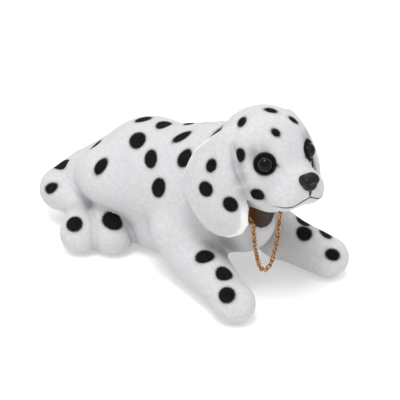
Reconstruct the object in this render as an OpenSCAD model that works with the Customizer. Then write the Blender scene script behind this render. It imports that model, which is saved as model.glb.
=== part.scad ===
// Flocked nodding-head toy puppy, lying down, with a gilt chain hung from its neck opening.
// Millimetres.  The puppy faces -Y, its left side is +X, +Z is up, and it rests on z = 0.
// The body is a hollow two-half moulding.  The hollow head hangs on a wire across the neck
// opening and is balanced by a weight inside the body, so a touch sets it nodding.

/* [Body] */
// Wall thickness of the body moulding
body_wall = 2.2; // [1.5:0.1:4]
// Height of the front rim of the neck opening
rim_z = 43.5; // [38:0.5:50]
// Free gap kept around the skull where it dips into the neck opening
head_gap = 5.4; // [4:0.2:9]

/* [Head] */
// Radius of the skull
skull_r = 28.5; // [26:0.5:32]
// Wall thickness of the head moulding
head_wall = 2; // [1.4:0.1:3]
// How far the face is turned towards the puppy's right, in degrees
face_turn = 8.8; // [0:0.2:15]
// Head set on its stalk, turned further to its right (degrees)
head_set = 4.5; // [-10:0.1:10]
// Thickness of each ear flap
ear_t = 3.2; // [2.4:0.1:5]

/* [Face] */
// Radius of the glossy eye dome
eye_r = 5; // [3.5:0.1:6]
// Outside radius of the black surround of the eye
eye_ring_r = 6.6; // [5.5:0.1:8]
// Width of the nose
nose_w = 11; // [8:0.5:14]

/* [Nodding gear] */
// Radius of the bridge wire that carries the head
wire_r = 1.25; // [1:0.05:2]
// Running clearance of the hanger on the wire and of the stud in its socket
run_gap = 0.08; // [0.03:0.01:0.12]
// Radius of the balance weight
weight_r = 10; // [7:0.5:12]
// Length of the balance weight
weight_len = 17; // [10:0.5:24]
// Distance of the weight's near face from the bridge wire
weight_at = 33; // [26:0.5:42]

/* [Chain] */
// Wire radius of the chain links
link_wire = 0.42; // [0.3:0.02:0.6]
// Outside length of a link
link_len = 4.6; // [3.5:0.1:6]
// Outside width of a link
link_w = 3.2; // [2.6:0.1:4]
// Number of links in the loop that hangs outside
front_links = 31; // [20:1:36]
// Number of links in each strand inside the neck
neck_links = 11; // [6:1:16]

/* [Hidden] */
e = 0.02;
$fa = 7;
$fs = 0.45;
piv = [0, -45, 65.5];
skull_off = [0, -24, 27];
stalk_ang = atan2(24, 27);
rim = [0, -68, rim_z];
plane_tilt = 60.7;
pitch = link_len - 4 * link_wire - 0.28;
loop_a = 4.3;
loop_half = front_links * pitch / 2;
loop_top = sqrt(loop_a * loop_a + loop_half * loop_half) - loop_a;
loop_x = -1;
loop_y = -70.2;
loop_z = 49 - loop_top;
strand_r = [loop_x - 12.55, loop_y + 0.64, 48.8];
strand_l = [loop_x + 12.55, loop_y + 0.64, 48.8];
eye_dir = [15.5, -22.3, 6.5];
eye_az = atan2(eye_dir[1], eye_dir[0]);
eye_el = acos(eye_dir[2] / norm(eye_dir));

// ---------------------------------------------------------------- helpers
module rc(a, b, r1, r2, f = 26) {
    hull() {
        translate(a) sphere(r = r1, $fn = f);
        translate(b) sphere(r = r2, $fn = f);
    }
}

module egg(c, r, f = 26) {
    translate(c) scale(r) sphere(r = 1, $fn = f);
}

// place children at the bridge wire, turned with the head
module at_pivot() {
    translate(piv) rotate([0, 0, -face_turn]) children();
}

// place children in the head's own frame: skull centre at the origin, face towards -Y
module in_head() {
    at_pivot() translate(skull_off) rotate([0, 0, -head_set]) children();
}

// place children on an eye axis, +Z pointing outwards; s = -1 right eye, 1 left eye
module at_eye(s) {
    mirror([s < 0 ? 1 : 0, 0, 0])
        rotate([0, 0, eye_az]) rotate([0, eye_el, 0]) children();
}

// place children on the stalk axis, origin at the bridge wire, +Z towards the skull
module on_stalk() {
    at_pivot() rotate([stalk_ang, 0, 0]) children();
}

// ---------------------------------------------------------------- body
module collar(o) {
    scale([0.9, 1, 1]) rc([0, -14, 54], [0, -38, 68], 34.5 - o, 31 - o, 30);
}

module torso(o) {
    rc([-9, 64, 26], [0, 28, 44], 27 - o, 34.5 - o);
    rc([0, 28, 44], [0, -16, 50], 34.5 - o, 34.5 - o);
    collar(o);
    rc([0, -36, 66], [0, -44, 52], 28 - o, 25.5 - o);
    rc([0, -26, 36], [0, -50, 39], 25 - o, 20 - o);
    rc([-9, 26, 21], [-4, -12, 23], 22.4 - o, 24.4 - o);
}

// the slanted mouth of the neck and the room around the skull
module neck_cut() {
    translate(rim) rotate([plane_tilt, 0, 0])
        translate([-70, -20, 0]) cube([140, 140, 90]);
    rc([-7, -68, 92.5], [3, -68, 92.5], skull_r + head_gap, skull_r + head_gap, 32);
}

module limbs(o) {
    egg([-27, 39, 46.5], [18 - o, 25 - o, 17.5 - o]);
    egg([20, 54, 32], [20 - o, 26 - o, 26 - o]);
    rc([-25, -20, 32], [-26, -34, 18], 18 - o, 16.5 - o);
    rc([-26, -34, 18], [-42, -80, 12], 16.5 - o, 11 - o);
    rc([27, -26, 31], [31, -54, 17], 18 - o, 14.5 - o);
    rc([31, -54, 17], [36, -89, 12.5], 14.5 - o, 12.8 - o);
    rc([-35, 28, 12], [-18, 40, 16], 12.3 - o, 12 - o);
    rc([-36, 31, 13], [-31, 38, 22], 12 - o, 11 - o);
    rc([-48, 45, 12.5], [-24, 60, 16], 13.2 - o, 13 - o);
    rc([0, 88, 23], [-27, 85, 22], 16 - o, 14 - o);
    rc([-27, 85, 22], [-36, 58, 25], 14 - o, 9.5 - o);
}

// everything below the given height
module below(z) {
    translate([-150, -150, z - 60]) cube([300, 300, 60]);
}

module body_shell() {
    difference() {
        union() {
            difference() {
                torso(0);
                neck_cut();
            }
            limbs(0);
            egg([-42.5, -81, 12], [11.6, 13.5, 12.4]);
        }
        difference() {
            union() {
                torso(body_wall);
                limbs(body_wall);
            }
            below(body_wall);
        }
        below(0);
    }
}

module body_shell_right() {
    color("white") intersection() {
        body_shell();
        translate([-150, -150, -1]) cube([150 - e, 300, 150]);
    }
}

module body_shell_left() {
    color("white") intersection() {
        body_shell();
        translate([e, -150, -1]) cube([150, 300, 150]);
    }
}

// ---------------------------------------------------------------- bridge across the neck
module bridge_socket(s) {
    difference() {
        intersection() {
            translate(piv) rotate([0, 90 * s, 0]) translate([0, 0, 19]) cylinder(r = 3.4, h = 12);
            collar(body_wall + e);
        }
        translate(piv) rotate([0, 90 * s, 0])
            translate([0, 0, 18]) cylinder(r = wire_r + run_gap, h = 5);
    }
}

module bridge_socket_right() {
    color("saddlebrown") bridge_socket(-1);
}

module bridge_socket_left() {
    color("saddlebrown") bridge_socket(1);
}

module bridge_wire() {
    color("silver") translate(piv - [22.8, 0, 0]) rotate([0, 90, 0]) cylinder(r = wire_r, h = 45.6);
}

// ---------------------------------------------------------------- chain
module link() {
    rr = link_w / 2 - link_wire;
    st = link_len / 2 - link_w / 2;
    for (s = [0, 180]) rotate([0, 0, s]) {
        translate([st, 0, 0]) rotate([0, 0, -90])
            rotate_extrude(angle = 180) translate([rr, 0]) circle(r = link_wire);
        translate([-st, rr, 0]) rotate([0, 90, 0]) cylinder(r = link_wire, h = 2 * st);
    }
}

// arc length to span of the hanging loop
function loop_u(s) = loop_a * ln(s / loop_a + sqrt(s * s / loop_a / loop_a + 1));

module chain_front() {
    color("goldenrod") for (i = [0 : front_links - 1]) {
        s = (i - (front_links - 1) / 2) * pitch;
        translate([loop_x + loop_u(s), loop_y, loop_z + sqrt(loop_a * loop_a + s * s) - loop_a])
            rotate([0, -atan(s / loop_a), 0]) rotate([i % 2 * 90, 0, 0]) link();
    }
}

// one straight strand of links from the rim at a back to a ring threaded on the wire at w
module strand(a, w) {
    u = (w - a) / norm(w - a);
    d = (w - 3.04 * u) - a;
    az = atan2(d[1], d[0]);
    el = asin(d[2] / norm(d));
    for (i = [0 : neck_links - 1])
        translate(a + d * ((i + 0.5) / neck_links))
            rotate([0, 0, az]) rotate([0, -el, 0]) rotate([i % 2 * 90, 0, 0]) link();
    translate(w - 0.83 * u) rotate([0, 90, 0])
        rotate_extrude() translate([2.6, 0]) circle(r = link_wire);
}

module chain_strands() {
    color("goldenrod") {
        strand(strand_r, piv - [10, 0, 0]);
        strand(strand_l, piv + [10, 0, 0]);
    }
}

// ---------------------------------------------------------------- nodding gear
module hanger() {
    color("silver") translate(piv) difference() {
        rotate([0, 0, -face_turn]) union() {
            translate([-3.4, 0, 0]) rotate([0, 90, 0]) cylinder(r = 3.4, h = 6.8);
            translate([0, 0, 2]) cylinder(r = 2.9, h = 2.4);
            translate([0, 0, 2]) cylinder(r = 1.6, h = 9.2);
        }
        translate([-9, 0, 0]) rotate([0, 90, 0]) cylinder(r = wire_r + run_gap, h = 18);
    }
}

module neck_stalk() {
    color("saddlebrown") at_pivot() difference() {
        union() {
            translate([-4.5, -9.5, -9.5]) cube([9, 19, 23.5]);
            rotate([stalk_ang, 0, 0]) translate([0, 0, 9.2]) cylinder(r = 11, h = 2.8);
            rotate([stalk_ang, 0, 0]) translate([-3.2, -3.5, -weight_at + 2]) cube([6.4, 7, weight_at - 10]);
            rotate([stalk_ang, 0, 0]) translate([0, 0, -weight_at]) cylinder(r = 4.6, h = 7);
        }
        translate([-6, -6.4, -6.2]) cube([12, 12.8, 10.7]);
        translate([0, 0, 4]) cylinder(r = 1.6 + run_gap, h = 7.6);
        rotate([stalk_ang, 0, 0]) translate([0, 0, -weight_at - 1]) cylinder(r = 1.5, h = 7);
    }
}

module balance_weight() {
    color("dimgray") on_stalk() translate([0, 0, -weight_at - weight_len - e]) difference() {
        cylinder(r = weight_r, h = weight_len);
        translate([0, 0, -1]) cylinder(r = 1.6, h = weight_len + 2);
    }
}

module weight_screw() {
    color("silver") on_stalk() translate([0, 0, -weight_at - weight_len - 2 * e]) {
        translate([0, 0, -2]) cylinder(r = 3, h = 2);
        translate([0, 0, -1]) cylinder(r = 1.48, h = weight_len + 6);
    }
}

// ---------------------------------------------------------------- head
module muzzle(o) {
    rc([0, -15, -8], [0, -33.6, -6.6], 15.8 - o, 11.8 - o, 28);
    for (s = [-1, 1]) {
        egg([s * 8.2, -30.2, -11], [10.2 - o, 12.2 - o, 10.2 - o]);
        egg([s * 9.6, -9.4, -12.5], [17 - o, 15.5 - o, 14 - o]);
        egg([s * 5.5, -15, -15], [13 - o, 14 - o, 14.6 - o]);
    }
}

module head_shell() {
    color("white") in_head() difference() {
        union() {
            sphere(r = skull_r);
            muzzle(0);
        }
        difference() {
            union() {
                sphere(r = skull_r - head_wall);
                muzzle(head_wall);
            }
        }
        rotate([0, 0, head_set]) rotate([stalk_ang, 0, 0]) translate([0, 0, -40])
            cylinder(r = 11 + e, h = 30);
        for (s = [-1, 1]) at_eye(s) translate([0, 0, 20]) cylinder(r = 1.55, h = 12);
        translate([0, -30, 1]) rotate([90, 0, 0]) cylinder(r = 1.55, h = 20);
    }
}

// slab with the ear's outline, its faces square to X
module leaf() {
    hull() for (c = [[5, 15], [15.5, 1.5], [21.2, -18], [3, -40], [-5.5, -40], [-13.5, -31],
                     [-14.8, -21], [-9, -5]])
        translate([10, c[0], c[1]]) rotate([0, 90, 0]) cylinder(r = 5, h = 40, $fn = 32);
}

module ear(s) {
    mirror([s < 0 ? 1 : 0, 0, 0]) difference() {
        intersection() {
            translate([0, 2 + 2 * s, -3]) scale([1, 1, s < 0 ? 1 : 0.926]) translate([0, 0, 3]) leaf();
            difference() {
                translate([-16, 18, -21]) sphere(r = 56 + ear_t / 2);
                translate([-16, 18, -21]) sphere(r = 56 - ear_t / 2);
            }
        }
        sphere(r = skull_r + e);
    }
}

module ear_right() {
    color("white") in_head() ear(-1);
}

module ear_left() {
    color("white") in_head() ear(1);
}

module eye(s) {
    at_eye(s) union() {
        difference() {
            translate([0, 0, 27.2]) sphere(r = eye_r);
            translate([0, 0, -e]) sphere(r = skull_r + 2 * e);
        }
        translate([0, 0, 23]) cylinder(r = 1.5, h = 7);
    }
}

module eye_right() {
    color("black") in_head() eye(-1);
}

module eye_left() {
    color("black") in_head() eye(1);
}

module eye_ring(s) {
    at_eye(s) difference() {
        translate([0, 0, 27.9])
            rotate_extrude($fn = 72) translate([eye_ring_r - 1.2, 0]) circle(r = 1.2, $fn = 36);
        translate([0, 0, 27.2]) sphere(r = eye_r + e, $fn = 96);
        sphere(r = skull_r + e, $fn = 200);
    }
}

module eye_ring_right() {
    color("dimgray") in_head() eye_ring(-1);
}

module eye_ring_left() {
    color("dimgray") in_head() eye_ring(1);
}

module nose() {
    k = nose_w / 11;
    color("black") in_head() difference() {
        union() {
            difference() {
                union() {
                    for (s = [-1, 1]) egg([s * 2.5 * k, -43.9, 1.3], [3.5 * k, 4.8, 3.5 * k]);
                    egg([0, -43.9, 2.1], [3.2 * k, 4.6, 2.5 * k]);
                    egg([0, -44.3, -1.9], [4.3 * k, 4.2, 3.3 * k]);
                }
                muzzle(-e);
            }
            translate([0, -35, 1]) rotate([90, 0, 0]) cylinder(r = 1.5, h = 10);
        }
        for (s = [-1, 1]) translate([s * 2.8 * k, -48.4, -0.3]) sphere(r = 0.9 * k);
    }
}

body_shell_right();
body_shell_left();
bridge_socket_right();
bridge_socket_left();
bridge_wire();
chain_strands();
chain_front();
hanger();
neck_stalk();
balance_weight();
weight_screw();
head_shell();
ear_right();
ear_left();
eye_right();
eye_left();
eye_ring_right();
eye_ring_left();
nose();
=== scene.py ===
"""Looks for the nodding puppy: flocked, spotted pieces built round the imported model.

The flocked pieces (two body halves, head, ears) and the nose are signed-distance shapes in
millimetres, sampled on a grid and meshed here.  The eyes are lathed, and the mouth line is
drawn over the muzzle.  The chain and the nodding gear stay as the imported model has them.
"""
import math

import bmesh
import bpy
import numpy as np
import openvdb
from mathutils import Matrix, Vector


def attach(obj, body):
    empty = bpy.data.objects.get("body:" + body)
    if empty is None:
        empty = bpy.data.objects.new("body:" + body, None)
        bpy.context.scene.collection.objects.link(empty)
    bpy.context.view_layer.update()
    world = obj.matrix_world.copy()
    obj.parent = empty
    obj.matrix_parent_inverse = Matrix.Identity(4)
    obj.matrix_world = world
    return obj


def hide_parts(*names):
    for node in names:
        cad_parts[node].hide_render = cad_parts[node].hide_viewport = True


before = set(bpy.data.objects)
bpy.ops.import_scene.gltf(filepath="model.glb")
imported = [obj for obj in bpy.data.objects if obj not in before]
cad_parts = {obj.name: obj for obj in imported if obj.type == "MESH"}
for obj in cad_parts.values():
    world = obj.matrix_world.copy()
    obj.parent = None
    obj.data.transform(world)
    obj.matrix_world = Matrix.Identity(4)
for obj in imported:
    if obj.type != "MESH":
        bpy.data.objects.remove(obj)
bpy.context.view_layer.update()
MM = 0.001
COARSE = 1.0

# ------------------------------------------------------------------ camera
target, azimuth, elevation = Vector((0, -0.014, 0.0392)), math.radians(-47), math.radians(28.5)
back = Vector((math.sin(azimuth) * math.cos(elevation),
               -math.cos(azimuth) * math.cos(elevation), math.sin(elevation)))
lens = bpy.data.cameras.new("camera")
lens.lens, lens.sensor_width = 144, 36
camera = bpy.data.objects.new("camera", lens)
camera.location = target + back
camera.rotation_euler = back.to_track_quat("Z", "Y").to_euler()
bpy.context.scene.collection.objects.link(camera)
bpy.context.scene.camera = camera

# ------------------------------------------------------------------ shape, in millimetres
# The flocked pieces are signed-distance shapes: round cones and eggs that melt into each
# other, sampled on a grid and meshed.  Negative inside.
PIVOT = np.array([0.0, -45.0, 65.5], np.float32)   # middle of the bridge wire
SKULL = np.array([0.0, -24.0, 27.0], np.float32)   # skull centre, from the pivot
TURN = math.radians(8.8)                           # the stalk is turned to the right
SET = math.radians(4.5)                            # and the head sits turned on the stalk
SKULL_R = 28.5
BODY_WALL, HEAD_WALL = 2.2, 2.0
EYE = np.array([15.5, -22.3, 6.5]) / 27.93         # the left eye's axis, from the skull centre
EYE_R = 5
EAR_CENTRE, EAR_R = (-16, 18, -21), 56             # the sphere that the left ear's leaf lies on
EAR_ROUND = 5                                      # rounding of the corners of its outline
EAR_HALF = 1.9                                     # half its thickness, along the rim
EAR_DISH = 0.55                                    # how much thinner it is in the middle
LEFT_EAR_BACK, LEFT_EAR_SHORTER = 4, 1.08          # the left ear against the right one
BLEND = 2.4                                        # fillet between ear and skull
ROOT_DEPTH = 1.0                                   # how far the ear goes on under the skull's skin
HOLE_R, HOLE_START = 11.02, 12                     # the stalk's hole in the head


def smin(a, b, k):
    """The union of two shapes, with a fillet about k wide."""
    h = np.clip(0.5 + 0.5 * (b - a) / k, 0, 1)
    return b + (a - b) * h - k * h * (1 - h)


def smax(a, b, k):
    """The overlap of two shapes, rounded in the same way."""
    return -smin(-a, -b, k)


def ramp(x, lo, hi):
    t = np.clip((x - lo) / (hi - lo), 0, 1)
    return t * t * (3 - 2 * t)


def cone(p, a, b, ra, rb):
    """A ball of radius ra at a, one of rb at b, and the straight skin between them."""
    a, b = np.array(a, np.float32), np.array(b, np.float32)
    ba, rr = b - a, ra - rb
    l2 = float(ba @ ba)
    a2, pa = l2 - rr * rr, p - a
    y = pa @ ba
    z = y - l2
    t = pa * l2 - y[:, None] * ba
    x2 = (t * t).sum(1)
    y2, z2, k = y * y * l2, z * z * l2, math.copysign(rr * rr, rr) * x2
    mid = (np.sqrt(x2 * a2 / l2) + y * rr) / l2 - ra
    at_a = np.sqrt(x2 + y2) / l2 - ra
    at_b = np.sqrt(x2 + z2) / l2 - rb
    return np.where(np.sign(z) * a2 * z2 > k, at_b, np.where(np.sign(y) * a2 * y2 < k, at_a, mid))


def egg(p, c, r):
    """About the distance to an ellipsoid at c with the half-axes r."""
    q, r = p - np.array(c, np.float32), np.array(r, np.float32)
    k0 = np.linalg.norm(q / r, axis=1)
    k1 = np.linalg.norm(q / (r * r), axis=1)
    return k0 * (k0 - 1) / np.maximum(k1, 1e-6)


def outline(y, z, corners):
    """Distance in a plane to a closed outline with straight sides, negative inside."""
    corners = np.array(corners, np.float32)
    nearest, inside = np.full(len(y), 1e9, np.float32), np.full(len(y), -1e9, np.float32)
    for a, b in zip(corners, np.roll(corners, -1, 0)):
        side = b - a
        py, pz = y - a[0], z - a[1]
        t = np.clip((py * side[0] + pz * side[1]) / (side @ side), 0, 1)
        nearest = np.minimum(nearest, np.hypot(py - t * side[0], pz - t * side[1]))
        inside = np.maximum(inside, (pz * side[0] - py * side[1]) / np.hypot(*side))
    return np.where(inside < 0, -nearest, nearest)


def spin(q, angle):
    """The points turned about Z."""
    c, s = math.cos(angle), math.sin(angle)
    return np.stack([c * q[:, 0] - s * q[:, 1], s * q[:, 0] + c * q[:, 1], q[:, 2]], 1)


def to_head(p):
    """Points in the head's own frame: skull centre at the origin, face towards -Y."""
    return spin(spin(p - PIVOT, TURN) - SKULL, SET)


def from_head(q):
    q = np.atleast_2d(np.asarray(q, float))
    return spin(spin(q, -SET) + SKULL, -TURN) + PIVOT


def torso(p):
    d = cone(p, (-9, 64, 26), (0, 28, 44), 27, 34.5)
    d = smin(d, cone(p, (0, 28, 44), (0, -16, 50), 34.5, 34.5), 6)
    squeezed = p / np.array([0.9, 1, 1], np.float32)
    d = smin(d, cone(squeezed, (0, -14, 54), (0, -38, 68), 34.5, 31) * 0.95, 8)
    d = smin(d, cone(p, (0, -36, 66), (0, -44, 52), 28, 25.5), 5)
    d = smin(d, cone(p, (0, -26, 36), (0, -50, 39), 25, 20), 7)
    return smin(d, cone(p, (-9, 26, 21), (-4, -12, 23), 22.4, 24.4), 5)


def neck_room(p):
    """Distance to the slanted mouth of the neck and to the room kept round the skull."""
    slant = 0.872 * (p[:, 1] + 68) - 0.4896 * (p[:, 2] - 43.5)
    ball = cone(p, (-7, -68, 92.5), (3, -68, 92.5), 33.9, 33.9)
    return np.minimum(slant, ball)


def limbs(p):
    """The hind leg that shows, the tail, the right front leg and the left one."""
    hind = cone(p, (-35, 28, 12), (-18, 40, 16), 12.3, 12)
    hind = smin(hind, cone(p, (-36, 31, 13), (-31, 38, 22), 12, 11), 3)
    hind = smin(hind, cone(p, (-48, 45, 12.5), (-24, 60, 16), 13.2, 13), 2.5)
    tail = smin(cone(p, (0, 88, 23), (-27, 85, 22), 16, 14),
                cone(p, (-27, 85, 22), (-36, 58, 25), 14, 9.5), 2)
    near = smin(cone(p, (-25, -20, 32), (-26, -34, 18), 18, 16.5),
                cone(p, (-26, -34, 18), (-42, -80, 12), 16.5, 11), 3)
    near = smin(near, egg(p, (-42.5, -81, 12), (11.6, 13.5, 12.4)), 4)
    far = smin(cone(p, (27, -26, 31), (31, -54, 17), 18, 14.5),
               cone(p, (31, -54, 17), (36, -89, 12.5), 14.5, 12.8), 4)
    return hind, tail, near, far


def body_outer(p):
    """The flocked outside, before the neck is opened."""
    hind, tail, near, far = limbs(p)
    d = smax(torso(p), -neck_room(p), 1.2)
    d = smin(d, egg(p, (-27, 39, 46.5), (18, 25, 17.5)), 8)
    d = smin(d, egg(p, (20, 54, 32), (20, 26, 26)), 8)
    d = smin(smin(d, near, 8), far, 8)
    d = smin(d, hind, 2.5)
    d = smin(d, tail, 2.5)
    return d


def body_shape(p):
    hollow = np.maximum(torso(p) + BODY_WALL, BODY_WALL - p[:, 2])
    return np.maximum(smax(body_outer(p), -hollow, 1.3), -p[:, 2])


def valley(q):
    """The groove between each ear and the cheek."""
    q = np.stack([np.abs(q[:, 0]), q[:, 1], q[:, 2]], 1)
    return np.minimum(cone(q, (27.6, -2, 12.5), (30.2, -10.5, 2.8), 3.2, 5),
                      cone(q, (30.2, -10.5, 2.8), (31.4, -17, -9), 5, 5.6))


def skull(q):
    d = np.linalg.norm(q, axis=1) - SKULL_R
    d = smin(d, cone(q, (0, -15, -8), (0, -33.6, -6.6), 15.8, 11.8), 7)
    for s in (-1, 1):
        d = smin(d, egg(q, (s * 8.2, -30.2, -11), (10.2, 12.2, 10.2)), 3.5)
        d = smin(d, egg(q, (s * 9.6, -9.4, -12.5), (17, 15.5, 14)), 5)
        d = smin(d, egg(q, (s * 5.5, -15, -15), (13, 14, 14.6)), 4)
    return smax(d, -valley(q), 3)


EAR_CORNERS = [(5, 15), (15.5, 1.5), (21.2, -18), (5, -39), (0, -40.8), (-5.5, -40), (-10.6, -36.6),
               (-13.8, -31), (-14.8, -21), (-11.5, -11), (-5.8, -4)]


def ear_outline(q, s):
    """Distance to the rim of an ear seen from its side; the left one is shorter and further back."""
    y, z = q[:, 1], q[:, 2]
    if s > 0:
        y, z = y - LEFT_EAR_BACK, (z + 3) * LEFT_EAR_SHORTER - 3
    return outline(y, z, EAR_CORNERS) - EAR_ROUND


def ear(q, s):
    """A curved leaf on a sphere of its own, thicker along its rim."""
    x, y, z = s * q[:, 0], q[:, 1], q[:, 2]
    leaf = ear_outline(q, s)
    cx, cy, cz = EAR_CENTRE
    shell = np.sqrt((x - cx) ** 2 + (y - cy) ** 2 + (z - cz) ** 2) - EAR_R
    dish = EAR_DISH * ramp(-leaf, 2.0, 7.0)
    thick = np.abs(shell + 0.5 * dish) - EAR_HALF + 0.5 * dish
    wx, wy = leaf + EAR_HALF, thick + EAR_HALF
    d = np.minimum(np.maximum(wx, wy), 0) + np.hypot(np.maximum(wx, 0), np.maximum(wy, 0)) - EAR_HALF
    return np.where(x > 0, d, 30)


def neck_hole(q):
    """The round hole at the back underside of the head, where the stalk goes in."""
    q = spin(q, -SET)
    along = np.array([0, 24, -27], np.float32) / 36.125
    t = q @ along
    side = np.linalg.norm(q - t[:, None] * along, axis=1)
    return np.maximum(side - HOLE_R, HOLE_START - t)


def head_shape(q):
    d = skull(q)
    d = smax(d, -(d + HEAD_WALL), 0.4)
    return smax(d, -neck_hole(q), 0.4)


def ear_shape(q, s):
    """The ear with the fillet that melts it into the skull, down to 1 mm under its skin."""
    h, e = skull(q), ear(q, s)
    return np.maximum(np.maximum(smin(h, e, BLEND), -(h + ROOT_DEPTH)), e - BLEND)


def nose_shape(q):
    """Two lobes side by side over a narrow chin, with a groove and two nostrils."""
    d = smin(egg(q, (-2.5, -43.9, 1.3), (3.5, 4.8, 3.5)), egg(q, (2.5, -43.9, 1.3), (3.5, 4.8, 3.5)), 1)
    d = smin(d, egg(q, (0, -43.9, 2.1), (3.2, 4.6, 2.5)), 1)
    d = smin(d, egg(q, (0, -44.3, -1.9), (4.3, 4.2, 3.3)), 1.4)
    groove = cone(q, (0, -49.3, 0.2), (0, -48.9, -5.4), 0.45, 0.45)
    d = smax(d, -groove, 0.7)
    for s in (-1, 1):
        d = smax(d, -cone(q, (s * 2.2, -49.2, -0.5), (s * 4.2, -47.8, 0.2), 0.75, 0.9), 0.6)
    return smax(d, -(skull(q) + 0.4), 0.3)


# ------------------------------------------------------------------ meshing
def sample(field, low, high, step):
    """The field on a grid, worked out finely only near the surface."""
    low, block = np.array(low, float), 8
    count = np.ceil((np.array(high, float) - low) / step / block).astype(int)
    grids = np.meshgrid(*[np.arange(n) for n in count], indexing="ij")
    cells = np.stack(grids, -1).reshape(-1, 3)
    middle = (low + (cells * block + (block - 1) / 2) * step).astype(np.float32)
    far = field(middle)
    values = np.repeat(np.repeat(np.repeat(
        np.where(far < 0, -3 * step, 3 * step).reshape(count).astype(np.float32),
        block, 0), block, 1), block, 2)
    near = cells[np.abs(far) < block * step * 0.9 * 1.35]
    inner = np.stack(np.meshgrid(*[np.arange(block)] * 3, indexing="ij"), -1).reshape(-1, 3)
    for start in range(0, len(near), 400):
        some = near[start:start + 400, None, :] * block + inner[None]
        flat = some.reshape(-1, 3)
        d = field((low + flat * step).astype(np.float32))
        values[flat[:, 0], flat[:, 1], flat[:, 2]] = np.clip(d, -3 * step, 3 * step)
    return low, values


def gradient(field, p, h=0.12):
    """The way out of the shape at each point."""
    g = np.empty((len(p), 3), np.float32)
    for axis in range(3):
        off = np.zeros(3, np.float32)
        off[axis] = h
        g[:, axis] = field(p + off) - field(p - off)
    return g / np.maximum(np.linalg.norm(g, axis=1), 1e-9)[:, None]


def surface(field, low, high, step):
    """Points in millimetres lying on the field's zero, and faces wound outwards."""
    low, values = sample(field, low, high, step)
    grid = openvdb.FloatGrid(float(values.max()))
    grid.copyFromArray(values)
    grid.transform = openvdb.createLinearTransform(step)
    points, triangles, quads = grid.convertToPolygons(0.0, 0.0)
    p = (points + low).astype(np.float32)
    for _ in range(2):
        p = p - gradient(field, p) * np.clip(field(p), -step, step)[:, None]
    faces = [tuple(f) for f in quads] + [tuple(f) for f in triangles]
    first = np.array([f[:3] for f in faces[:400]])
    a, b, c = p[first[:, 0]], p[first[:, 1]], p[first[:, 2]]
    middle = (a + b + c) / 3
    outward = (np.cross(b - a, c - a) * gradient(field, middle)).sum(1)
    if np.median(outward) < 0:
        faces = [f[::-1] for f in faces]
    return p, faces


def onto(field, p):
    """The points moved to the field's surface."""
    p = np.atleast_2d(np.asarray(p, np.float32))
    for _ in range(12):
        p = p - gradient(field, p) * field(p)[:, None] * 0.8
    return p


def build(name, points, faces, materials):
    mesh = bpy.data.meshes.new(name)
    mesh.from_pydata((np.asarray(points) * MM).tolist(), [], faces)
    for material in materials:
        mesh.materials.append(material)
    piece = bpy.data.objects.new(name, mesh)
    bpy.context.scene.collection.objects.link(piece)
    return piece


def positions(mesh):
    flat = np.empty(len(mesh.vertices) * 3, np.float32)
    mesh.vertices.foreach_get("co", flat)
    return flat.reshape(-1, 3) / MM


def write(mesh, name, values):
    layer = mesh.attributes.new(name, "FLOAT", "POINT")
    layer.data.foreach_set("value", np.asarray(values, np.float32))


def shade_smooth(mesh, normals, flat_faces=()):
    """Normals from the field itself, apart from the faces of a cut."""
    loops = np.empty(len(mesh.loops), np.int32)
    mesh.loops.foreach_get("vertex_index", loops)
    custom = normals[loops]
    for index in flat_faces:
        face = mesh.polygons[index]
        custom[face.loop_start:face.loop_start + face.loop_total] = face.normal
    mesh.polygons.foreach_set("use_smooth", np.ones(len(mesh.polygons), bool))
    mesh.normals_split_custom_set(custom.tolist())


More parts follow.
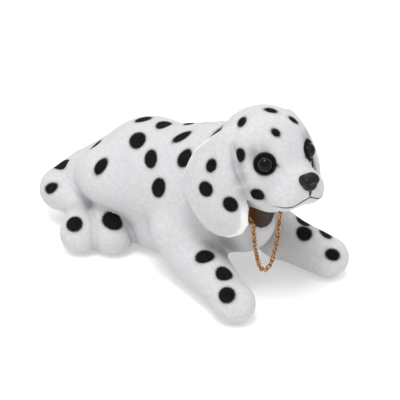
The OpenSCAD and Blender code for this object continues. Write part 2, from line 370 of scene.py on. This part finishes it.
# ------------------------------------------------------------------ spots
# Each spot: its middle, the way its long axis points, half its length and half its width.
BODY_SPOTS = [
    ((0, 35, 80), (1, -0.3, 0), 6, 4.5), ((1, 18, 82), (0.9, 0.4, 0), 6.8, 5),
    ((4, -1, 86), (0.5, 0.8, -0.3), 5, 3.5), ((8, -15, 89), (0.5, 0.8, -0.4), 7, 4.5),
    ((-13, -11, 87), (-0.5, 0.7, -0.5), 7, 4.2), ((-18, 22, 75), (0.6, 0.8, 0.3), 7, 5.7),
    ((-19, 58, 59), (0.9, 0.5, 0.1), 6, 4.2), ((-26, 3, 72), (0.5, 0.8, 0.3), 7.2, 5.2),
    ((-24, -24, 81), (0.4, -0.4, 0.8), 6.4, 5.5), ((-37, 35, 59), (0.8, 0, 0.6), 6.3, 4.2),
    ((-22, 89, 36), (0.7, 0.7, -0.1), 8, 5.8), ((-34, -11, 60), (0.2, -0.4, 0.9), 6.8, 5.6),
    ((-40, 80, 29), (-0.1, 0.9, -0.5), 6.4, 3.8), ((-38, 26, 24), (-0.1, 1, 0.2), 7.3, 5.8),
    ((-55, 43, 23), (0.2, 1, 0.3), 6, 5.4), ((-36.5, -52, 29), (0.68, -0.73, 0), 6.1, 5.2),
    ((-39, -70, 26), (0.5, 0.8, 0.2), 6.4, 5.2), ((-50, -82, 21), (0.1, 1, 0), 5.7, 5.1),
    ((29, -75, 27), (0.5, 0.8, 0), 6, 5), ((38, -67, 30), (0.4, 0.9, 0), 6.5, 4),
    ((39, -84, 26), (0.4, 0.9, 0), 6, 3.6), ((30, -97, 20), (0.6, -0.7, -0.3), 5, 3.9),
    # the side, back and rump that the usual view doesn't show
    ((21, 36, 74), (0.2, 1, -0.2), 6.6, 5), ((33, 16, 60), (0, 0.8, 0.5), 6, 5),
    ((25, 2, 76), (0.3, 0.9, 0), 5, 4.2), ((34, -8, 52), (0, 0.5, 0.8), 6.8, 5.4),
    ((27, -27, 76), (0.4, 0.4, -0.7), 5.6, 4.8), ((36, 46, 46), (0.2, 0.7, -0.7), 7, 5),
    ((26, 70, 50), (0.7, 0.5, -0.4), 5.6, 4.6), ((39, 60, 28), (0, 0.8, 0.5), 5, 4.4),
    ((8, 84, 42), (0.9, 0.2, -0.3), 6.4, 4.6), ((20, 92, 22), (0.9, -0.4, 0.2), 5.4, 4.6),
    ((-8, 101, 24), (1, 0.1, 0.3), 6, 4.6), ((45, -60, 18), (0.2, 1, 0), 5, 4.2),
    ((12, 48, 76), (0.9, -0.3, -0.3), 4.4, 3.6),
]
HEAD_SPOTS = [
    ((2, -3, 28), (-0.6, 0.8, 0), 4.2, 3), ((12, -12, 23), (-0.7, 0.4, 0.6), 3.7, 2.7),
    ((-15.5, 1, 24), (0.7, 0.6, 0.4), 4.1, 3), ((-5, -18, 22), (-0.4, 0.8, 0.5), 3.3, 2.5),
    ((-25, -10.5, 9.7), (0.2, 0.3, 0.9), 4.3, 3.6), ((-19.5, -21.5, -12), (-0.5, 0.9, 0.2), 4.7, 3.7),
    ((20, -20, -3.5), (0.5, 0.6, -0.6), 4.8, 3.4), ((22, -22, -12), (0.5, 0.9, 0.2), 4, 3.4),
    ((22, 0, 18), (0.2, 0.9, 0.2), 3.6, 3), ((10, 12, 24), (1, 0.3, 0), 3.6, 2.8),
    ((-9, 19, 19), (0.8, 0.5, 0), 4, 3), ((9, 26, 6), (0.9, 0, 0.4), 3.6, 3),
    ((-17, 22, 3), (0.6, 0.4, 0.6), 4.2, 3.4), ((-4, 27, -8), (1, 0, 0.2), 3.6, 2.8),
]
EAR_SPOTS = {
    -1: [((-36, 3, 0.5), (0, 0.35, -0.9), 4.5, 3.8), ((-40, 3, -14), (0, 0.9, -0.5), 5.6, 4.8),
         ((-33, -13, -19), (0.2, -0.6, 0.7), 5.2, 5)],
    1: [((35, 6, 3), (0, 0.9, 0.4), 4, 3.4), ((40, 12, -12), (0, 0.9, 0.5), 5, 4.2),
        ((37, -5, -20), (0, 0.6, 0.8), 5, 4.6), ((35, 10, -33), (0, 0.8, -0.5), 4, 3.4)],
}


def spotted(p, normals, field, spots):
    """Distance in millimetres to the edge of the nearest spot, negative inside one."""
    nearest = np.full(len(p), 4.0, np.float32)
    for middle, way, half_length, half_width in spots:
        c = onto(field, middle)
        n = gradient(field, c)[0]
        u = np.array(way, np.float32)
        u -= n * (u @ n)
        u /= np.linalg.norm(u)
        q = p - c[0]
        reach = np.abs(q).max(1) < half_length + 5
        q = q[reach]
        depth = q @ n
        across = np.linalg.norm(q - np.outer(q @ u, u) - np.outer(depth, n), axis=1)
        ring = np.hypot((q @ u) / half_length, across / half_width)
        d = (ring - 1) * half_width
        facing = normals[reach] @ n
        d = np.where((depth < -0.75 * half_length) | (facing < 0.3), 4.0, d)
        nearest[reach] = np.minimum(nearest[reach], d)
    return nearest


# Painted shade: grey patches in the crease where the front leg meets the chest, round the haunch, hind leg
# and tail, above the eyes and in the groove between ear and cheek.
BODY_PAINTED_SHADE = [((-20, -54, 34), 7, 0.55), ((-28, -50, 33), 5, 0.4), ((-32, 19, 22), 6, 0.5),
                ((-34, 46, 30), 7, 0.35), ((-22, 22, 34), 8, 0.2), ((-24, 84, 31), 7, 0.15)]
HEAD_PAINTED_SHADE = [((19.5, -17.5, 12), 5, 0.6), ((15.5, -20.5, 14.5), 4.6, 0.42), ((27, -11, 4), 4.5, 0.4),
                ((27, -14, -4), 4.6, 0.5), ((26, -18, -11), 5.4, 0.5), ((25, -6, 12.5), 3.6, 0.25)]


def painted_shade_patches(p, shade_patches):
    """Soft grey patches of painted shade, each with its middle, its size and how dark it is."""
    grey = np.zeros(len(p), np.float32)
    for middle, size, depth in shade_patches:
        away = np.linalg.norm(p - np.array(middle, np.float32), axis=1)
        grey = np.maximum(grey, depth * np.exp(-(away / size) ** 2))
    return grey


def crease_shade_amount(p, normals, field, reach):
    """How much painted shade a fold gets: 0 on an open surface, 1 at the bottom of a fold."""
    room = field(p + normals * reach) / reach
    return np.clip(1 - room, 0, 1)


# ------------------------------------------------------------------ materials
class Graph:
    """A material's nodes, made and linked in one call each."""

    def __init__(self, name):
        self.material = bpy.data.materials.new(name)
        self.material.use_nodes = True
        self.nodes, self.links = self.material.node_tree.nodes, self.material.node_tree.links
        self.shader = self.nodes["Principled BSDF"]

    def put(self, socket, value):
        if hasattr(value, "links"):
            self.links.new(value, socket)
        elif isinstance(value, (tuple, list)) and socket.type == "RGBA":
            socket.default_value = (*value[:3], 1)
        else:
            socket.default_value = value

    def node(self, kind, settings=(), **inputs):
        node = self.nodes.new("ShaderNode" + kind)
        for key, value in dict(settings).items():
            setattr(node, key, value)
        for key, value in inputs.items():
            self.put(node.inputs[key.replace("_", " ")], value)
        return node

    def where(self):
        return self.node("TexCoord").outputs["Object"]

    def noise(self, size, detail=3, roughness=0.55, stretch=None):
        """Noise whose features are about this many millimetres."""
        at = self.where()
        if stretch:
            at = self.node("Mapping", Vector=at, Scale=stretch).outputs["Vector"]
        return self.node("TexNoise", Vector=at, Scale=1 / (size * MM), Detail=detail,
                         Roughness=roughness).outputs["Fac"]

    def attribute(self, name):
        return self.node("Attribute", {"attribute_name": name}).outputs["Fac"]

    def span(self, value, low, high, to_low=0.0, to_high=1.0, smooth=True):
        kind = "SMOOTHSTEP" if smooth else "LINEAR"
        node = self.node("MapRange", {"interpolation_type": kind})
        for key, v in (("Value", value), ("From Min", low), ("From Max", high),
                       ("To Min", to_low), ("To Max", to_high)):
            self.put(node.inputs[key], v)
        return node.outputs["Result"]

    def math(self, operation, a, b=0.0):
        node = self.node("Math", {"operation": operation})
        self.put(node.inputs[0], a)
        self.put(node.inputs[1], b)
        return node.outputs[0]

    def mix(self, factor, a, b, blend="MIX"):
        node = self.node("Mix", {"data_type": "RGBA", "blend_type": blend})
        self.put(node.inputs["Factor"], factor)
        self.put(node.inputs["A"], a)
        self.put(node.inputs["B"], b)
        return node.outputs["Result"]

    def bump(self, height, depth, strength=1.0, under=None):
        node = self.node("Bump", Height=height, Distance=depth * MM, Strength=strength)
        if under is not None:
            self.links.new(under, node.inputs["Normal"])
        return node.outputs["Normal"]

    def finish(self, **inputs):
        for key, value in inputs.items():
            self.put(self.shader.inputs[key.replace("_", " ")], value)
        return self.material


def flock_material():
    """Short white fibres, black where a spot is, painted shade in the folds and in grey patches, painted
    light on the ears' edges and on the inner wall, brown deep in the neck.
    """
    g = Graph("white_flock")
    grain, clumps, patches = g.noise(0.45, 2), g.noise(2.2, 3), g.noise(14, 2)
    streaks = g.noise(1.6, 4, 0.65, (1, 0.3, 1))
    white = g.mix(g.span(clumps, 0.35, 0.7), (0.555, 0.556, 0.565), (0.61, 0.611, 0.62))
    white = g.mix(g.span(patches, 0.35, 0.7, 0, 0.35), white, (0.52, 0.522, 0.535))
    white = g.mix(g.span(streaks, 0.42, 0.7, 0, 0.4), white, (0.48, 0.48, 0.495))
    # painted light: paler along the ears' edges and on the body's inner wall
    white = g.mix(g.attribute("rim"), white, (0.80, 0.80, 0.81))
    # painted shade: grey patches in creases and above the eyes
    white = g.mix(g.attribute("painted_shade"), white, (0.13, 0.13, 0.135))
    # painted shade: greyer the deeper the fold
    white = g.mix(g.math("MULTIPLY", g.attribute("painted_fold_shade"), 0.8), white, (0.27, 0.27, 0.285))
    fuzz = g.span(g.noise(0.7, 3, 0.7), 0.3, 0.7, -0.4, 0.4, False)
    edge = g.math("ADD", g.attribute("spot"), fuzz)
    white = g.mix(g.span(edge, 0.2, 2.4, 0.3, 0), white, (0.30, 0.29, 0.30))
    # brown of the bare plastic inside, with painted light: much lighter than the plastic itself, standing in
    # for light reaching into the neck
    white = g.mix(g.attribute("bare"), white, (0.80, 0.42, 0.26))
    black = g.mix(g.span(clumps, 0.3, 0.7), (0.0042, 0.004, 0.0045), (0.009, 0.0085, 0.0095))
    colour = g.mix(g.span(edge, -0.75, 0.8), black, white)
    fibres = g.bump(grain, 0.16, 0.55, g.bump(clumps, 0.25, 0.35))
    return g.finish(Base_Color=colour, Roughness=0.95, Sheen_Weight=0.02, Sheen_Roughness=0.5,
                    Specular_IOR_Level=0.06, Normal=fibres)


def plastic_material(name, dark, light, roughness, coat=0.0):
    """Moulded plastic: faint mottling, fine scuffs and a slight orange peel."""
    g = Graph(name)
    mottle, scuffs = g.noise(6, 4), g.noise(1.3, 4, 0.7, (1, 1, 0.25))
    colour = g.mix(g.span(mottle, 0.3, 0.7), dark, light)
    rough = g.span(scuffs, 0.35, 0.75, roughness - 0.08, roughness + 0.1)
    return g.finish(Base_Color=colour, Roughness=rough, Coat_Weight=coat, Coat_Roughness=0.05,
                    Normal=g.bump(g.noise(0.9, 2), 0.03, 0.4))


def metal_material(name, dark, light, roughness, size=1.5, stretch=None, pits=0.02):
    """Metal with tarnish in patches and fine drawn or cast grain."""
    g = Graph(name)
    tarnish, grain = g.noise(size, 4, 0.6), g.noise(0.35, 3, 0.6, stretch)
    colour = g.mix(g.span(tarnish, 0.35, 0.68), dark, light)
    rough = g.span(grain, 0.3, 0.7, roughness - 0.07, roughness + 0.1)
    return g.finish(Base_Color=colour, Metallic=1.0, Roughness=rough, Normal=g.bump(grain, pits, 0.5))


def eye_material():
    """Clear dome over a black pupil and a thin brown ring, by distance from the eye's axis."""
    g = Graph("eye_gloss")
    ring = g.attribute("ring")
    streaks = g.noise(0.5, 3, 0.6)
    brown = g.mix(g.span(streaks, 0.3, 0.7), (0.006, 0.004, 0.003), (0.035, 0.025, 0.02))
    inside = g.mix(g.span(ring, 0.62, 0.72), (0.002, 0.002, 0.002), brown)
    colour = g.mix(g.span(ring, 0.80, 0.88), inside, (0.002, 0.002, 0.002))
    return g.finish(Base_Color=colour, Roughness=0.1, Specular_IOR_Level=0.16,
                    Normal=g.bump(g.noise(2.5, 1), 0.02, 0.3))


def nose_material():
    """Glossy black with a fine pebbled skin."""
    g = Graph("nose_gloss")
    pebbles = g.node("TexVoronoi", {"feature": "F1"}, Vector=g.where(), Scale=1 / (0.7 * MM))
    mottle = g.noise(2, 3)
    colour = g.mix(g.span(mottle, 0.3, 0.7), (0.003, 0.003, 0.0033), (0.012, 0.012, 0.013))
    rough = g.span(g.noise(1.2, 3), 0.3, 0.7, 0.3, 0.45)
    return g.finish(Base_Color=colour, Roughness=rough, Specular_IOR_Level=0.18, Coat_Weight=0.04,
                    Normal=g.bump(pebbles.outputs["Distance"], 0.12, 0.6))


def velvet_material():
    """The soft black ring round an eye."""
    g = Graph("eye_surround")
    colour = g.mix(g.span(g.noise(0.8, 3), 0.3, 0.7), (0.003, 0.0028, 0.003), (0.007, 0.0065, 0.007))
    return g.finish(Base_Color=colour, Roughness=0.75, Specular_IOR_Level=0.08,
                    Normal=g.bump(g.noise(0.4, 2), 0.1, 0.5))


FLOCK = flock_material()
BROWN = plastic_material("brown_plastic", (0.16, 0.066, 0.034), (0.22, 0.098, 0.052), 0.5)
VELVET = velvet_material()
INK = plastic_material("mouth_paint", (0.009, 0.008, 0.009), (0.018, 0.016, 0.018), 0.6)
STEEL = metal_material("drawn_steel", (0.42, 0.42, 0.43), (0.66, 0.66, 0.67), 0.3, 2.5, (0.08, 1, 1))
IRON = metal_material("cast_iron", (0.055, 0.052, 0.052), (0.13, 0.125, 0.12), 0.55, 3, None, 0.08)
GILT = metal_material("gilt", (0.16, 0.05, 0.012), (0.98, 0.56, 0.24), 0.22, 1.0)

# ------------------------------------------------------------------ body
FOLD_REACH = 6.0


def finish_skin(mesh, field, outer, spots, bare=None, cut_faces=(), sides=None, painted_shade=None, rim=None):
    """Normals, spots, painted shade in the folds and in patches, and painted light, for one flocked mesh."""
    p = positions(mesh)
    normals = gradient(field, p)
    shade_smooth(mesh, normals, cut_faces)
    write(mesh, "spot", spotted(p, normals, outer, spots))
    write(mesh, "painted_fold_shade", crease_shade_amount(p, normals, sides or field, FOLD_REACH) ** 1.5)
    write(mesh, "bare", np.zeros(len(p)) if bare is None else bare(p))
    write(mesh, "painted_shade", painted_shade)
    write(mesh, "rim", np.zeros(len(p)) if rim is None else rim(p))


def bare_inside(p):
    """Bare plastic on the inner wall, fading in behind the rim of the neck."""
    return ramp(-body_outer(p), 0.9, 1.6) * ramp(neck_room(p), 13.0, 31.0)


def body_half(points, faces, side, name, node):
    """One half of the body, cut on the middle line, with the cut closed."""
    work = bmesh.new()
    keep = bpy.data.meshes.new("whole")
    keep.from_pydata(points.tolist(), [], faces)
    work.from_mesh(keep)
    bpy.data.meshes.remove(keep)
    everything = work.verts[:] + work.edges[:] + work.faces[:]
    bmesh.ops.bisect_plane(work, geom=everything, dist=1e-4, plane_co=(side * 0.01, 0, 0),
                           plane_no=(-side, 0, 0), clear_outer=True)
    rim = [e for e in work.edges if e.is_boundary]
    caps = bmesh.ops.triangle_fill(work, edges=rim, use_beauty=True, normal=(-side, 0, 0))
    cap_faces = [f for f in caps["geom"] if isinstance(f, bmesh.types.BMFace)]
    for f in cap_faces:
        if f.normal.x * side > 0:
            f.normal_flip()
        f.material_index = 1
    work.faces.index_update()
    cut = [f.index for f in cap_faces]
    mesh = bpy.data.meshes.new(name)
    work.to_mesh(mesh)
    work.free()
    mesh.materials.append(FLOCK)
    mesh.materials.append(BROWN)
    mesh.transform(Matrix.Scale(MM, 4))
    piece = bpy.data.objects.new(name, mesh)
    bpy.context.scene.collection.objects.link(piece)
    finish_skin(mesh, body_shape, body_outer, BODY_SPOTS, bare_inside, cut,
                painted_shade=painted_shade_patches(positions(mesh), BODY_PAINTED_SHADE),
                # painted light: the inner wall paler than the flock outside, standing in for light getting
                # into the neck
                rim=lambda p: ramp(-body_outer(p), 0.9, 1.6))
    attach(piece, "body")
    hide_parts(node)
    return piece


points, faces = surface(body_shape, (-66, -120, -4), (60, 110, 110), 0.95 * COARSE)
body_half(points, faces, -1, "flocked_body_right", "body_shell_right")
body_half(points, faces, 1, "flocked_body_left", "body_shell_left")


# ------------------------------------------------------------------ head and ears
def patches():
    """The black patches painted round the eyes, each with a tick towards the nose."""
    made = []
    for s in (-1, 1):
        e = EYE * (s, 1, 1)
        up = np.array([0, 0, 1.0]) - e * e[2]
        up /= np.linalg.norm(up)
        nose_side = np.cross(up, e) * -s
        made.append((tuple(e * SKULL_R), tuple(up), 7.0, 6.8))
        made.append((tuple(e * SKULL_R + nose_side * 3.6 - up * 0.8), tuple(nose_side), 4.2, 2.0))
    return made


def whole_head(q):
    return np.minimum(np.minimum(head_shape(q), ear_shape(q, 1)), ear_shape(q, -1))


def head_piece(name, shape, low, high, step, spots, node, rim=None):
    """A flocked piece made in the head's frame and turned into place."""
    points, faces = surface(shape, low, high, step * COARSE)
    piece = build(name, points, faces, [FLOCK, BROWN])
    mesh = piece.data
    bare = (lambda p: ramp(-skull(p), 0.9, 1.5)) if node == "head_shell" else None
    mirrored = points * np.where(points[:, :1] < 0, (-1, 1, 1), (1, 1, 1))
    finish_skin(mesh, shape, shape, spots, bare, (), whole_head, painted_shade_patches(mirrored, HEAD_PAINTED_SHADE), rim)
    placed = from_head(points).astype(np.float32)
    normals = from_head(points + gradient(shape, points)).astype(np.float32) - placed
    mesh.vertices.foreach_set("co", (placed * MM).ravel())
    shade_smooth(mesh, normals)
    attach(piece, "head")
    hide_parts(node)
    return piece


head_piece("flocked_head", head_shape, (-33, -53, -33), (33, 33, 33), 0.62,
           HEAD_SPOTS + patches(), "head_shell")
for side, word in ((-1, "right"), (1, "left")):
    box_x = sorted((side * 12, side * 46))
    head_piece("flocked_ear_" + word, lambda q: ear_shape(q, side), (box_x[0], -22, -50),
               (box_x[1], 36, 28), 0.6, EAR_SPOTS[side], "ear_" + word,
               # painted highlight: paler along the ear's edge, away from the skull
               lambda q: (1 - ramp(-ear_outline(q, side), 0.3, 2.2)) * ramp(skull(q), 4.0, 8.0))


# ------------------------------------------------------------------ nose, mouth and eyes
points, faces = surface(nose_shape, (-8, -52, -8), (8, -40, 8), 0.28 * COARSE)
nose = build("glossy_nose", points, faces, [nose_material()])
turned = from_head(points)
nose.data.vertices.foreach_set("co", (turned * MM).astype(np.float32).ravel())
shade_smooth(nose.data, (from_head(points + gradient(nose_shape, points, 0.05)) - turned).astype(np.float32))
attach(nose, "head")
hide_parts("nose")


def line_on_muzzle(name, path, radius):
    """A thin raised line of paint that follows the muzzle, thinning to its last point."""
    path = np.array(path, float)
    steps = np.concatenate([[0], np.cumsum(np.linalg.norm(np.diff(path, axis=0), axis=1))])
    at = np.linspace(0, steps[-1], 60)
    q = np.stack([np.interp(at, steps, path[:, k]) for k in range(3)], 1).astype(np.float32)
    for _ in range(6):
        q[1:-1] = (q[:-2] + 2 * q[1:-1] + q[2:]) / 4
    q = onto(skull, q)
    up = gradient(skull, q)
    along = np.gradient(q, axis=0)
    along /= np.linalg.norm(along, axis=1)[:, None]
    side = np.cross(along, up)
    rings, sides = [], 10
    for k in range(len(q)):
        r = radius * (1 - 0.75 * ramp(np.array(k / (len(q) - 1)), 0.55, 1.0))
        angles = np.linspace(0, 2 * math.pi, sides, endpoint=False)
        rings.append(q[k] + r * (np.outer(np.cos(angles), side[k]) + 0.6 * np.outer(np.sin(angles), up[k])))
    points = np.concatenate(rings)
    faces = [(k * sides + j, k * sides + (j + 1) % sides, (k + 1) * sides + (j + 1) % sides,
              (k + 1) * sides + j) for k in range(len(q) - 1) for j in range(sides)]
    faces.append(tuple(range(sides))[::-1])
    faces.append(tuple((len(q) - 1) * sides + j for j in range(sides)))
    piece = build(name, from_head(points), faces, [INK])
    piece.data.polygons.foreach_set("use_smooth", np.ones(len(faces), bool))
    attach(piece, "head")
    return piece


line_on_muzzle("mouth_middle", [(0, -45, -3), (0, -45.4, -6), (0, -45, -9.6)], 0.85)
for side, word in ((-1, "right"), (1, "left")):
    line_on_muzzle("mouth_" + word, [
        (0, -45, -9.4), (side * 2.8, -44.3, -10.7), (side * 4.8, -43.3, -12.2), (side * 7, -42.4, -13.6),
        (side * 9.2, -41.6, -14.6), (side * 13.2, -39.6, -14.6), (side * 16, -36.7, -14.6),
        (side * 16.6, -32, -15.4)], 0.42)


def eye_piece(side, word, material):
    """A domed eye turned on a lathe, with a small step where the dome meets its rim."""
    profile = [(0, 32.1)]
    profile += [(EYE_R * math.sin(a), 27.2 + 4.9 * math.cos(a)) for a in np.linspace(0.1, 1.35, 14)]
    profile += [(5.02, 28.0), (5.04, 27.4), (4.8, 27.0)]
    axis = EYE * (side, 1, 1)
    u = np.cross(axis, (0, 0, 1.0))
    u /= np.linalg.norm(u)
    v = np.cross(axis, u)
    turns = 56
    points, faces, ring = [axis * profile[0][1]], [], [0.0]
    for r, h in profile[1:]:
        for k in range(turns):
            a = 2 * math.pi * k / turns
            points.append(axis * h + r * (math.cos(a) * u + math.sin(a) * v))
            ring.append(r / EYE_R)
    points.append(axis * 26.9)
    ring.append(1.0)
    last = len(points) - 1
    rows = len(profile) - 1
    for k in range(turns):
        n = (k + 1) % turns
        faces.append((0, 1 + k, 1 + n))
        for row in range(rows - 1):
            a, b = 1 + row * turns, 1 + (row + 1) * turns
            faces.append((a + k, b + k, b + n, a + n))
        base = 1 + (rows - 1) * turns
        faces.append((base + k, last, base + n))
    piece = build("glass_eye_" + word, from_head(np.array(points)), faces, [material])
    mesh = piece.data
    write(mesh, "ring", ring)
    work = bmesh.new()
    work.from_mesh(mesh)
    bmesh.ops.recalc_face_normals(work, faces=work.faces[:])
    work.to_mesh(mesh)
    work.free()
    mesh.polygons.foreach_set("use_smooth", np.ones(len(mesh.polygons), bool))
    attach(piece, "head")
    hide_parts("eye_" + word)


eye_gloss = eye_material()
eye_piece(-1, "right", eye_gloss)
eye_piece(1, "left", eye_gloss)

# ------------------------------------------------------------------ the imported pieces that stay
for node, material in {
    "eye_ring_right": VELVET, "eye_ring_left": VELVET, "chain_front": GILT, "chain_strands": GILT,
    "bridge_wire": STEEL, "hanger": STEEL, "weight_screw": STEEL, "balance_weight": IRON,
    "neck_stalk": BROWN, "bridge_socket_right": BROWN, "bridge_socket_left": BROWN,
}.items():
    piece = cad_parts[node]
    piece.data.materials.clear()
    piece.data.materials.append(material)

# ------------------------------------------------------------------ floor and light
floor_mesh = bpy.data.meshes.new("floor")
floor_mesh.from_pydata([(-3, -3, 0), (3, -3, 0), (3, 3, 0), (-3, 3, 0)], [], [(0, 1, 2, 3)])
g = Graph("pale_floor")
floor_mesh.materials.append(g.finish(
    Base_Color=g.mix(g.span(g.noise(60, 2), 0.3, 0.7), (0.74, 0.74, 0.74), (0.76, 0.76, 0.76)),
    Roughness=0.85, Specular_IOR_Level=0.1, Emission_Color=(1, 1, 1), Emission_Strength=0.3))
floor = bpy.data.objects.new("floor", floor_mesh)
floor.location.z = -0.0002
bpy.context.scene.collection.objects.link(floor)

world = bpy.data.worlds.new("studio")
world.use_nodes = True
world.node_tree.nodes["Background"].inputs["Color"].default_value = (1, 1, 1, 1)
world.node_tree.nodes["Background"].inputs["Strength"].default_value = 0.85
bpy.context.scene.world = world


def softbox(name, place, size, power):
    lamp = bpy.data.lights.new(name, "AREA")
    lamp.shape, lamp.size, lamp.energy = "DISK", size, power
    holder = bpy.data.objects.new(name, lamp)
    holder.location = place
    holder.rotation_euler = (Vector(place) - Vector((0, 0, 0.04))).to_track_quat("Z", "Y").to_euler()
    bpy.context.scene.collection.objects.link(holder)


softbox("key", (-0.9, -0.6, 2.9), 1.2, 45)
softbox("top", (0.5, 1.4, 2.6), 1.6, 12)
bpy.context.scene.view_settings.view_transform = "Standard"
